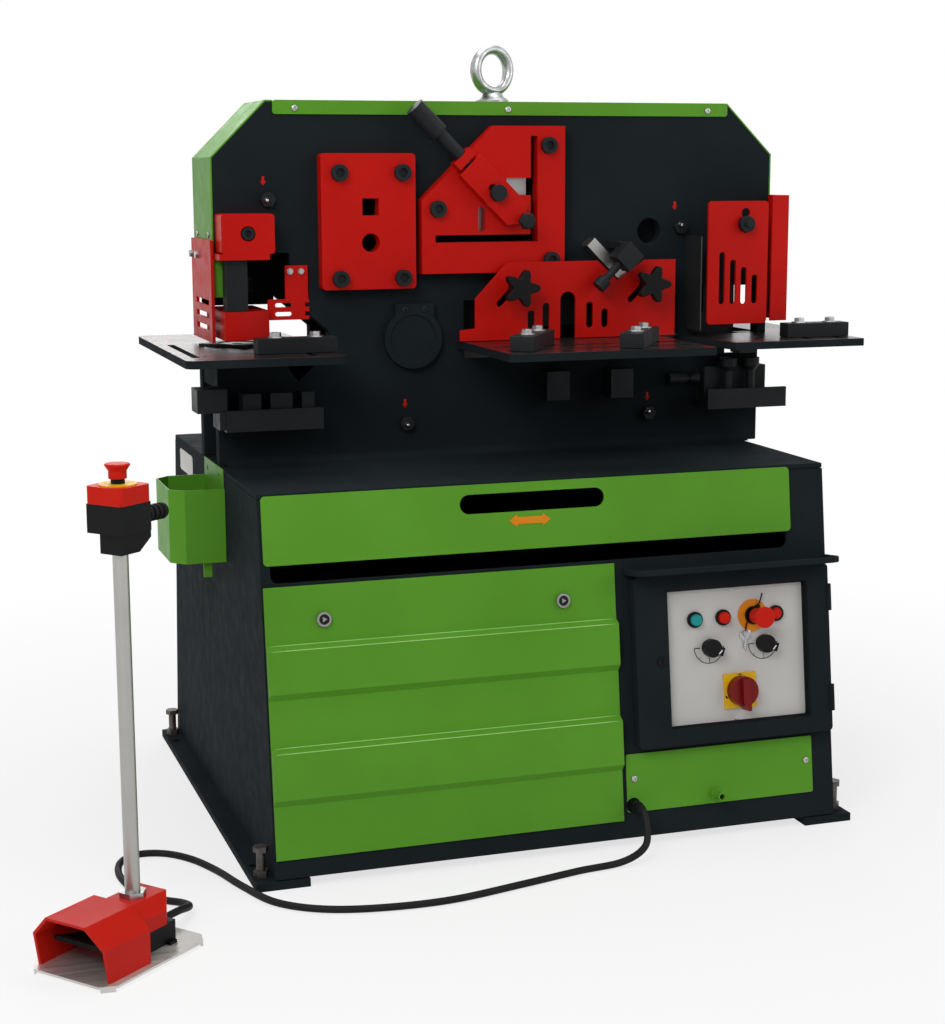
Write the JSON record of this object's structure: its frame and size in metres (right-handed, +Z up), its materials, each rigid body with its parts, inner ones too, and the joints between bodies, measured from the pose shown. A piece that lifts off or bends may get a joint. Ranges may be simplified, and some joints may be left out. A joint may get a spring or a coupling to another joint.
{
  "type": "hydraulic ironworker",
  "caption": "Hydraulic ironworker with punch, bar, angle and plate shears and a notcher on a rocking beam, over a sloping cabinet with tables, guards and a foot pedal post.",
  "frame": {"origin": "on the floor, at the middle of the rectangle of the four anchor holes in the feet", "axes": "+X to the user's right, +Y to the back of the machine, +Z up along the anchor holes"},
  "size_m": [1.7016, 1.3333, 1.489],
  "materials": {
    "black_paint": "satin",
    "green_paint": "gloss",
    "red_paint": "gloss",
    "steel": "ground",
    "zinc": "zinc plated",
    "table_steel": "ground",
    "aluminium": "brushed",
    "grey_panel": "satin",
    "black_plastic": "matt",
    "red_plastic": "gloss",
    "teal_plastic": "gloss",
    "cord_rubber": "matt",
    "grey_cast": "painted"
  },
  "bodies": {
    "machine": {"base_frame": "black_paint", "levelling_bolts": "zinc", "base_top": "black_paint", "front_frame": "black_paint", "rear_panel": "black_paint", "front_covers": "green_paint", "electrical_box": "black_paint", "front_plate": "black_paint", "back_plate": "black_paint", "frame_blocks": "black_paint", "top_cover": "green_paint", "eye_bolt": "zinc", "pivot_pin": "black_paint", "fixed_blades": "steel", "punch_table": "table_steel", "plate_table": "table_steel", "notch_table": "table_steel", "stripper": "red_paint", "side_guards": "red_paint", "bar_shear_plate": "red_paint", "angle_shear_plate": "red_paint", "frame_fittings": "black_paint", "tool_trays": "black_paint", "tool_bucket": "green_paint", "hydraulic_unit": "grey_cast", "cord_gland": "black_plastic", "pedal_cord": "cord_rubber", "pedal_plate": "steel", "pedal_body": "black_plastic", "pedal_hood": "red_plastic", "pedal_pole": "aluminium", "stop_box": "black_plastic", "stop_box_lid": "red_plastic"},
    "beam": {"beam": "black_paint", "beam_blades": "steel"},
    "punch_ram": {"punch_ram": "steel"},
    "cylinder_rod": {"cylinder_rod": "steel"},
    "lower_cover": {"lower_cover": "green_paint"},
    "cover_lock_left": {"cover_lock_left": "zinc"},
    "cover_lock_right": {"cover_lock_right": "zinc"},
    "control_door": {"control_door": "black_paint", "control_panel": "grey_panel"},
    "start_button": {"start_button": "teal_plastic"},
    "stop_button": {"stop_button": "red_plastic"},
    "estop_button": {"estop_button": "red_plastic"},
    "selector_left": {"selector_left": "black_plastic"},
    "selector_right": {"selector_right": "black_plastic"},
    "isolator_knob": {"isolator_knob": "red_plastic"},
    "hold_down_bar": {"hold_down_bar": "red_paint"},
    "hold_down_screw": {"hold_down_screw": "black_plastic"},
    "plate_guard": {"plate_guard": "red_paint"},
    "guard_knob_left": {"guard_knob_left": "black_plastic"},
    "guard_knob_right": {"guard_knob_right": "black_plastic"},
    "plate_fence_left": {"plate_fence_left": "black_paint"},
    "plate_fence_right": {"plate_fence_right": "black_paint"},
    "punch_fence": {"punch_fence": "black_paint"},
    "notch_fence": {"notch_fence": "black_paint"},
    "notch_guard": {"notch_guard": "red_paint"},
    "pedal_treadle": {"pedal_treadle": "black_plastic"},
    "stop_mushroom": {"stop_mushroom": "red_plastic"}
  },
  "joints": [
    {"name": "beam_swing", "type": "hinge", "parent": "machine", "child": "beam", "pos_m": [-0.165, 0.02, 0.922], "axis": [0, -1, 0], "range_deg": [-4, 4]},
    {"name": "ram_slide", "type": "slide", "parent": "machine", "child": "punch_ram", "axis": [0, 0, -1], "range_m": [-0.0228, 0.0228]},
    {"name": "rod_slide", "type": "slide", "parent": "machine", "child": "cylinder_rod", "axis": [1, 0, 0], "range_m": [-0.0204, 0.0204]},
    {"name": "lower_cover_lift_off", "type": "slide", "parent": "machine", "child": "lower_cover", "axis": [0, -0.9918, 0.1279], "range_m": [0, 0.25]},
    {"name": "cover_lock_left_turn", "type": "hinge", "parent": "lower_cover", "child": "cover_lock_left", "pos_m": [-0.442, -0.44274, 0.46738], "axis": [0, -0.9918, 0.1279], "range_deg": [0, 90]},
    {"name": "cover_lock_right_turn", "type": "hinge", "parent": "lower_cover", "child": "cover_lock_right", "pos_m": [0.007, -0.44274, 0.46738], "axis": [0, -0.9918, 0.1279], "range_deg": [0, 90]},
    {"name": "control_door_swing", "type": "hinge", "parent": "machine", "child": "control_door", "pos_m": [0.54, -0.48167, 0.34533], "axis": [0, 0.1279, 0.9918], "range_deg": [0, 110]},
    {"name": "start_press", "type": "slide", "parent": "control_door", "child": "start_button", "axis": [0, 0.9918, -0.1279], "range_m": [0, 0.004], "stiffness_N_per_m": 900, "springref_m": -0.003},
    {"name": "stop_press", "type": "slide", "parent": "control_door", "child": "stop_button", "axis": [0, 0.9918, -0.1279], "range_m": [0, 0.004], "stiffness_N_per_m": 900, "springref_m": -0.003},
    {"name": "estop_press", "type": "slide", "parent": "control_door", "child": "estop_button", "axis": [0, 0.9918, -0.1279], "range_m": [0, 0.005], "stiffness_N_per_m": 1200, "springref_m": -0.004},
    {"name": "selector_left_turn", "type": "hinge", "parent": "control_door", "child": "selector_left", "pos_m": [0.294, -0.46956, 0.36105], "axis": [0, -0.9918, 0.1279], "range_deg": [-45, 45]},
    {"name": "selector_right_turn", "type": "hinge", "parent": "control_door", "child": "selector_right", "pos_m": [0.406, -0.46956, 0.36105], "axis": [0, -0.9918, 0.1279], "range_deg": [-45, 45]},
    {"name": "isolator_turn", "type": "hinge", "parent": "control_door", "child": "isolator_knob", "pos_m": [0.354, -0.47854, 0.27579], "axis": [0, -0.9918, 0.1279], "range_deg": [-90, 0]},
    {"name": "hold_down_screw_turn", "type": "hinge", "parent": "machine", "child": "hold_down_screw", "pos_m": [-0.004, -0.112, 1.197], "axis": [0.7071, 0, -0.7071], "range_deg": [0, 1081]},
    {"name": "hold_down_slide", "type": "slide", "parent": "machine", "child": "hold_down_bar", "axis": [0.7071, 0, -0.7071], "range_m": [0, 0.012]},
    {"name": "plate_guard_slide", "type": "slide", "parent": "machine", "child": "plate_guard", "axis": [0.7071, 0, 0.7071], "range_m": [0, 0.03]},
    {"name": "guard_knob_left_turn", "type": "hinge", "parent": "machine", "child": "guard_knob_left", "pos_m": [0.031, -0.127, 1.019], "axis": [0, -1, 0], "range_deg": [0, 720]},
    {"name": "guard_knob_right_turn", "type": "hinge", "parent": "machine", "child": "guard_knob_right", "pos_m": [0.306, -0.127, 1.021], "axis": [0, -1, 0], "range_deg": [0, 720]},
    {"name": "plate_fence_left_slide", "type": "slide", "parent": "machine", "child": "plate_fence_left", "axis": [1, 0, 0], "range_m": [-0.01, 0.1]},
    {"name": "plate_fence_right_slide", "type": "slide", "parent": "machine", "child": "plate_fence_right", "axis": [1, 0, 0], "range_m": [-0.05, 0.04]},
    {"name": "punch_fence_slide", "type": "slide", "parent": "machine", "child": "punch_fence", "axis": [0, 1, 0], "range_m": [-0.05, 0.02]},
    {"name": "notch_fence_slide", "type": "slide", "parent": "machine", "child": "notch_fence", "axis": [0, 1, 0], "range_m": [-0.04, 0.02]},
    {"name": "notch_guard_lift", "type": "slide", "parent": "machine", "child": "notch_guard", "axis": [0, 0, 1], "range_m": [0, 0.01]},
    {"name": "treadle_press", "type": "hinge", "parent": "machine", "child": "pedal_treadle", "pos_m": [-0.86709, -0.7135, 0.032], "axis": [0.6428, -0.766, 0], "range_deg": [0, 12], "stiffness_Nm_per_rad": 12, "springref_deg": -8.59},
    {"name": "stop_mushroom_press", "type": "slide", "parent": "machine", "child": "stop_mushroom", "axis": [0, 0, -1], "range_m": [0, 0.005], "stiffness_N_per_m": 1200, "springref_m": -0.004}
  ],
  "couplings": [
    {"joint": "ram_slide", "follows": "beam_swing", "m_per_rad": 0.325},
    {"joint": "rod_slide", "follows": "beam_swing", "m_per_rad": 0.29},
    {"joint": "hold_down_screw_turn", "follows": "hold_down_slide", "rad_per_m": 1570.8}
  ]
}
